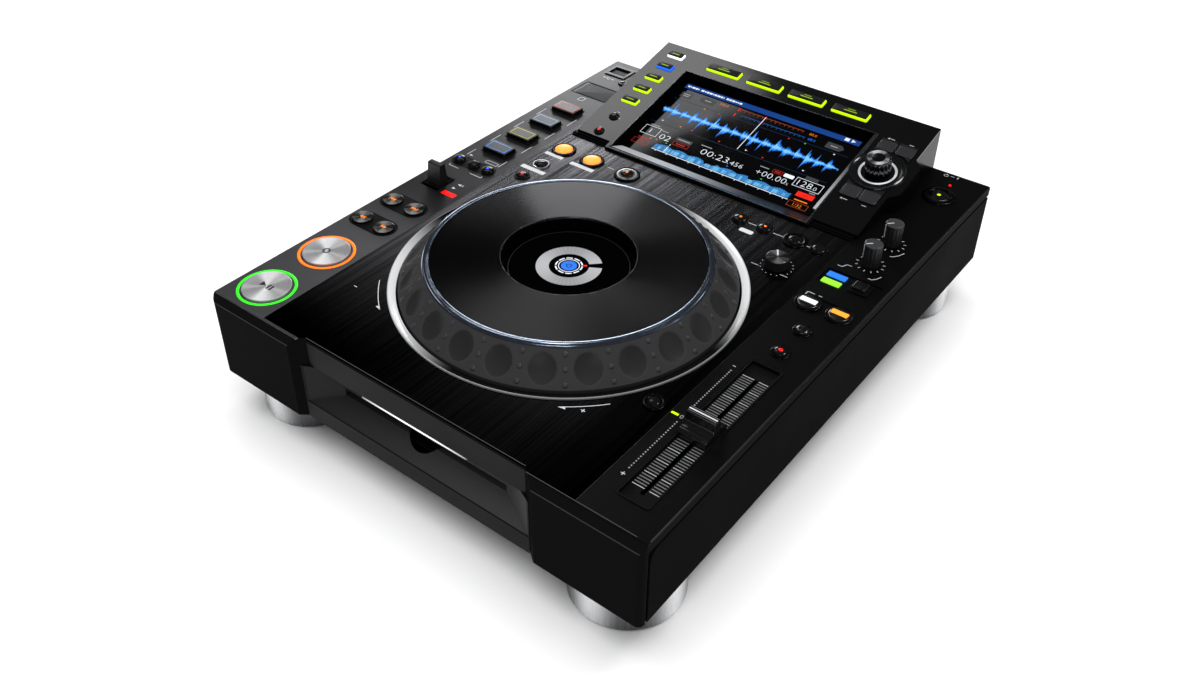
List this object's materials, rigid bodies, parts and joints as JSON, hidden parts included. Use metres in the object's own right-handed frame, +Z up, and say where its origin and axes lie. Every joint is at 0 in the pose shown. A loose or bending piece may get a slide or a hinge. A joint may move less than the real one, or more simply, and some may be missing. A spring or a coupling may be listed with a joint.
{
  "type": "tabletop dj cd player",
  "caption": "Tabletop DJ disc player with a turning jog wheel, sloped screen, lit play and cue buttons, tempo slider and a front disc slot, on four round feet.",
  "frame": {"origin": "bottom centre of the bounding box, on the floor under the feet", "axes": "+Z up, +X to the right seen from the front, +Y to the back; the disc slot faces -Y"},
  "size_m": [0.32, 0.418, 0.1177],
  "materials": {
    "top_case": "satin black",
    "lower_chassis": "satin black paint",
    "deck_plate": "brushed, black anodised",
    "slot_bezel": "satin black",
    "rear_panel": "satin black paint",
    "rear_jacks": "plated",
    "feet": "satin silver",
    "foot_pads": "matte",
    "case_screws": "zinc plated",
    "display_housing": "satin black",
    "display_panel": "clear front over a colour screen",
    "jog_trim_ring": "polished",
    "jog_bearing": "matte",
    "jog_display": "clear front",
    "light_guides": "lit light guide",
    "button_trims": "satin chrome",
    "tempo_track": "matte",
    "circuit_boards": "solder resist",
    "drive_chassis": "zinc plated sheet",
    "jog_wheel": "satin",
    "jog_top_plate": "spun, black anodised",
    "play_button": "spun",
    "cue_button": "spun",
    "search_buttons": "spun",
    "track_buttons": "spun",
    "direction_lever": "satin",
    "bank_buttons": "satin",
    "hot_cue_a": "translucent pad",
    "hot_cue_b": "translucent pad",
    "hot_cue_c": "translucent pad",
    "hot_cue_d": "translucent pad",
    "usb_stop_button": "satin",
    "card_door": "satin",
    "loop_in_button": "lit translucent cap",
    "loop_out_button": "lit translucent cap",
    "reloop_button": "satin",
    "beat_loop_button": "satin",
    "slip_button": "satin",
    "call_buttons": "satin",
    "memory_buttons": "satin",
    "jog_adjust_knob": "spun top",
    "tempo_reset_button": "satin",
    "eject_button": "satin",
    "brake_knob": "satin",
    "start_knob": "satin",
    "jog_mode_button": "satin",
    "sync_button": "satin",
    "master_button": "satin",
    "tempo_mode_buttons": "satin",
    "tempo_slider": "satin",
    "selector_knob": "spun top",
    "selector_shaft": "ground",
    "selector_pads": "satin",
    "source_keys": "satin",
    "browse_keys": "satin",
    "mode_buttons": "satin",
    "power_button": "satin",
    "disc_roller": "matte",
    "turntable": "satin",
    "optical_pickup": "satin"
  },
  "bodies": {
    "player": {"top_case": "top_case", "lower_chassis": "lower_chassis", "deck_plate": "deck_plate", "slot_bezel": "slot_bezel", "rear_panel": "rear_panel", "rear_jacks": "rear_jacks", "feet": "feet", "foot_pads": "foot_pads", "case_screws": "case_screws", "display_housing": "display_housing", "display_panel": "display_panel", "jog_trim_ring": "jog_trim_ring", "jog_bearing": "jog_bearing", "jog_display": "jog_display", "light_guides": "light_guides", "button_trims": "button_trims", "tempo_track": "tempo_track", "circuit_boards": "circuit_boards", "drive_chassis": "drive_chassis"},
    "jog_wheel": {"jog_wheel": "jog_wheel"},
    "jog_top_plate": {"jog_top_plate": "jog_top_plate"},
    "play_button": {"play_button": "play_button"},
    "cue_button": {"cue_button": "cue_button"},
    "search_buttons": {"search_buttons": "search_buttons"},
    "track_buttons": {"track_buttons": "track_buttons"},
    "direction_lever": {"direction_lever": "direction_lever"},
    "bank_buttons": {"bank_buttons": "bank_buttons"},
    "hot_cue_a": {"hot_cue_a": "hot_cue_a"},
    "hot_cue_b": {"hot_cue_b": "hot_cue_b"},
    "hot_cue_c": {"hot_cue_c": "hot_cue_c"},
    "hot_cue_d": {"hot_cue_d": "hot_cue_d"},
    "usb_stop_button": {"usb_stop_button": "usb_stop_button"},
    "card_door": {"card_door": "card_door"},
    "loop_in_button": {"loop_in_button": "loop_in_button"},
    "loop_out_button": {"loop_out_button": "loop_out_button"},
    "reloop_button": {"reloop_button": "reloop_button"},
    "beat_loop_button": {"beat_loop_button": "beat_loop_button"},
    "slip_button": {"slip_button": "slip_button"},
    "call_buttons": {"call_buttons": "call_buttons"},
    "memory_buttons": {"memory_buttons": "memory_buttons"},
    "jog_adjust_knob": {"jog_adjust_knob": "jog_adjust_knob"},
    "tempo_reset_button": {"tempo_reset_button": "tempo_reset_button"},
    "eject_button": {"eject_button": "eject_button"},
    "brake_knob": {"brake_knob": "brake_knob"},
    "start_knob": {"start_knob": "start_knob"},
    "jog_mode_button": {"jog_mode_button": "jog_mode_button"},
    "sync_button": {"sync_button": "sync_button"},
    "master_button": {"master_button": "master_button"},
    "tempo_mode_buttons": {"tempo_mode_buttons": "tempo_mode_buttons"},
    "tempo_slider": {"tempo_slider": "tempo_slider"},
    "selector_knob": {"selector_knob": "selector_knob"},
    "selector_shaft": {"selector_shaft": "selector_shaft"},
    "selector_pads": {"selector_pads": "selector_pads"},
    "source_keys": {"source_keys": "source_keys"},
    "browse_keys": {"browse_keys": "browse_keys"},
    "mode_buttons": {"mode_buttons": "mode_buttons"},
    "power_button": {"power_button": "power_button"},
    "disc_roller": {"disc_roller": "disc_roller"},
    "turntable": {"turntable": "turntable"},
    "optical_pickup": {"optical_pickup": "optical_pickup"}
  },
  "joints": [
    {"name": "jog_spin", "type": "hinge", "parent": "player", "child": "jog_wheel", "pos_m": [0, -0.0644, 0.087], "axis": [0, 0, 1], "continuous": true},
    {"name": "jog_top_plate_press", "type": "slide", "parent": "jog_wheel", "child": "jog_top_plate", "axis": [0, 0, -1], "range_m": [0, 0.0006], "stiffness_N_per_m": 2500, "springref_m": -0.0006},
    {"name": "play_button_press", "type": "slide", "parent": "player", "child": "play_button", "axis": [0, 0, -1], "range_m": [0, 0.0012], "stiffness_N_per_m": 400, "springref_m": -0.001},
    {"name": "cue_button_press", "type": "slide", "parent": "player", "child": "cue_button", "axis": [0, 0, -1], "range_m": [0, 0.0012], "stiffness_N_per_m": 400, "springref_m": -0.001},
    {"name": "search_buttons_press", "type": "slide", "parent": "player", "child": "search_buttons", "axis": [0, 0, -1], "range_m": [0, 0.0008], "stiffness_N_per_m": 400, "springref_m": -0.001},
    {"name": "track_buttons_press", "type": "slide", "parent": "player", "child": "track_buttons", "axis": [0, 0, -1], "range_m": [0, 0.0008], "stiffness_N_per_m": 400, "springref_m": -0.001},
    {"name": "bank_buttons_press", "type": "slide", "parent": "player", "child": "bank_buttons", "axis": [0, 0, -1], "range_m": [0, 0.0008], "stiffness_N_per_m": 400, "springref_m": -0.001},
    {"name": "hot_cue_a_press", "type": "slide", "parent": "player", "child": "hot_cue_a", "axis": [0, 0, -1], "range_m": [0, 0.0008], "stiffness_N_per_m": 400, "springref_m": -0.001},
    {"name": "hot_cue_b_press", "type": "slide", "parent": "player", "child": "hot_cue_b", "axis": [0, 0, -1], "range_m": [0, 0.0008], "stiffness_N_per_m": 400, "springref_m": -0.001},
    {"name": "hot_cue_c_press", "type": "slide", "parent": "player", "child": "hot_cue_c", "axis": [0, 0, -1], "range_m": [0, 0.0008], "stiffness_N_per_m": 400, "springref_m": -0.001},
    {"name": "hot_cue_d_press", "type": "slide", "parent": "player", "child": "hot_cue_d", "axis": [0, 0, -1], "range_m": [0, 0.0008], "stiffness_N_per_m": 400, "springref_m": -0.001},
    {"name": "usb_stop_button_press", "type": "slide", "parent": "player", "child": "usb_stop_button", "axis": [0, 0, -1], "range_m": [0, 0.0008], "stiffness_N_per_m": 400, "springref_m": -0.001},
    {"name": "loop_in_button_press", "type": "slide", "parent": "player", "child": "loop_in_button", "axis": [0, 0, -1], "range_m": [0, 0.0008], "stiffness_N_per_m": 400, "springref_m": -0.001},
    {"name": "loop_out_button_press", "type": "slide", "parent": "player", "child": "loop_out_button", "axis": [0, 0, -1], "range_m": [0, 0.0008], "stiffness_N_per_m": 400, "springref_m": -0.001},
    {"name": "reloop_button_press", "type": "slide", "parent": "player", "child": "reloop_button", "axis": [0, 0, -1], "range_m": [0, 0.0008], "stiffness_N_per_m": 400, "springref_m": -0.001},
    {"name": "beat_loop_button_press", "type": "slide", "parent": "player", "child": "beat_loop_button", "axis": [0, 0, -1], "range_m": [0, 0.0008], "stiffness_N_per_m": 400, "springref_m": -0.001},
    {"name": "slip_button_press", "type": "slide", "parent": "player", "child": "slip_button", "axis": [0, 0, -1], "range_m": [0, 0.0008], "stiffness_N_per_m": 400, "springref_m": -0.001},
    {"name": "call_buttons_press", "type": "slide", "parent": "player", "child": "call_buttons", "axis": [0, 0, -1], "range_m": [0, 0.0008], "stiffness_N_per_m": 400, "springref_m": -0.001},
    {"name": "memory_buttons_press", "type": "slide", "parent": "player", "child": "memory_buttons", "axis": [0, 0, -1], "range_m": [0, 0.0008], "stiffness_N_per_m": 400, "springref_m": -0.001},
    {"name": "tempo_reset_button_press", "type": "slide", "parent": "player", "child": "tempo_reset_button", "axis": [0, 0, -1], "range_m": [0, 0.0008], "stiffness_N_per_m": 400, "springref_m": -0.001},
    {"name": "eject_button_press", "type": "slide", "parent": "player", "child": "eject_button", "axis": [0, 0, -1], "range_m": [0, 0.0008], "stiffness_N_per_m": 400, "springref_m": -0.001},
    {"name": "jog_mode_button_press", "type": "slide", "parent": "player", "child": "jog_mode_button", "axis": [0, 0, -1], "range_m": [0, 0.0008], "stiffness_N_per_m": 400, "springref_m": -0.001},
    {"name": "sync_button_press", "type": "slide", "parent": "player", "child": "sync_button", "axis": [0, 0, -1], "range_m": [0, 0.0008], "stiffness_N_per_m": 400, "springref_m": -0.001},
    {"name": "master_button_press", "type": "slide", "parent": "player", "child": "master_button", "axis": [0, 0, -1], "range_m": [0, 0.0008], "stiffness_N_per_m": 400, "springref_m": -0.001},
    {"name": "tempo_mode_buttons_press", "type": "slide", "parent": "player", "child": "tempo_mode_buttons", "axis": [0, 0, -1], "range_m": [0, 0.0008], "stiffness_N_per_m": 400, "springref_m": -0.001},
    {"name": "selector_pads_press", "type": "slide", "parent": "player", "child": "selector_pads", "axis": [0, 0.2317, -0.9728], "range_m": [0, 0.0006], "stiffness_N_per_m": 400, "springref_m": -0.001},
    {"name": "source_keys_press", "type": "slide", "parent": "player", "child": "source_keys", "axis": [0, 0.2317, -0.9728], "range_m": [0, 0.0006], "stiffness_N_per_m": 400, "springref_m": -0.001},
    {"name": "browse_keys_press", "type": "slide", "parent": "player", "child": "browse_keys", "axis": [0, 0.2317, -0.9728], "range_m": [0, 0.0006], "stiffness_N_per_m": 400, "springref_m": -0.001},
    {"name": "mode_buttons_press", "type": "slide", "parent": "player", "child": "mode_buttons", "axis": [0, 0.2317, -0.9728], "range_m": [0, 0.0004], "stiffness_N_per_m": 400, "springref_m": -0.001},
    {"name": "selector_shaft_press", "type": "slide", "parent": "player", "child": "selector_shaft", "axis": [0, 0.2317, -0.9728], "range_m": [0, 0.0008], "stiffness_N_per_m": 400, "springref_m": -0.001},
    {"name": "selector_turn", "type": "hinge", "parent": "selector_shaft", "child": "selector_knob", "pos_m": [0.1005, 0.14082, 0.10909], "axis": [0, -0.2317, 0.9728], "continuous": true},
    {"name": "direction_tilt", "type": "hinge", "parent": "player", "child": "direction_lever", "pos_m": [-0.1426, -0.031, 0.078], "axis": [1, 0, 0], "range_deg": [-12, 12]},
    {"name": "card_door_swing", "type": "hinge", "parent": "player", "child": "card_door", "pos_m": [-0.1375, 0.1524, 0.086], "axis": [-1, 0, 0], "range_deg": [0, 90]},
    {"name": "jog_adjust_turn", "type": "hinge", "parent": "player", "child": "jog_adjust_knob", "pos_m": [0.0925, 0.026, 0.087], "axis": [0, 0, 1], "range_deg": [-135, 135]},
    {"name": "brake_turn", "type": "hinge", "parent": "player", "child": "brake_knob", "pos_m": [0.1374, 0.0925, 0.087], "axis": [0, 0, 1], "range_deg": [-135, 135]},
    {"name": "start_turn", "type": "hinge", "parent": "player", "child": "start_knob", "pos_m": [0.1374, 0.0635, 0.087], "axis": [0, 0, 1], "range_deg": [-135, 135]},
    {"name": "tempo_slide", "type": "slide", "parent": "player", "child": "tempo_slider", "axis": [0, -1, 0], "range_m": [-0.05, 0.05]},
    {"name": "power_button_press", "type": "slide", "parent": "player", "child": "power_button", "axis": [0, -1, 0], "range_m": [0, 0.0025], "stiffness_N_per_m": 400, "springref_m": -0.001},
    {"name": "roller_spin", "type": "hinge", "parent": "player", "child": "disc_roller", "pos_m": [0, -0.1848, 0.0461], "axis": [1, 0, 0], "continuous": true},
    {"name": "turntable_spin", "type": "hinge", "parent": "player", "child": "turntable", "pos_m": [0, -0.128, 0.05], "axis": [0, 0, 1], "continuous": true},
    {"name": "pickup_slide", "type": "slide", "parent": "player", "child": "optical_pickup", "axis": [0, 1, 0], "range_m": [0, 0.034]}
  ]
}
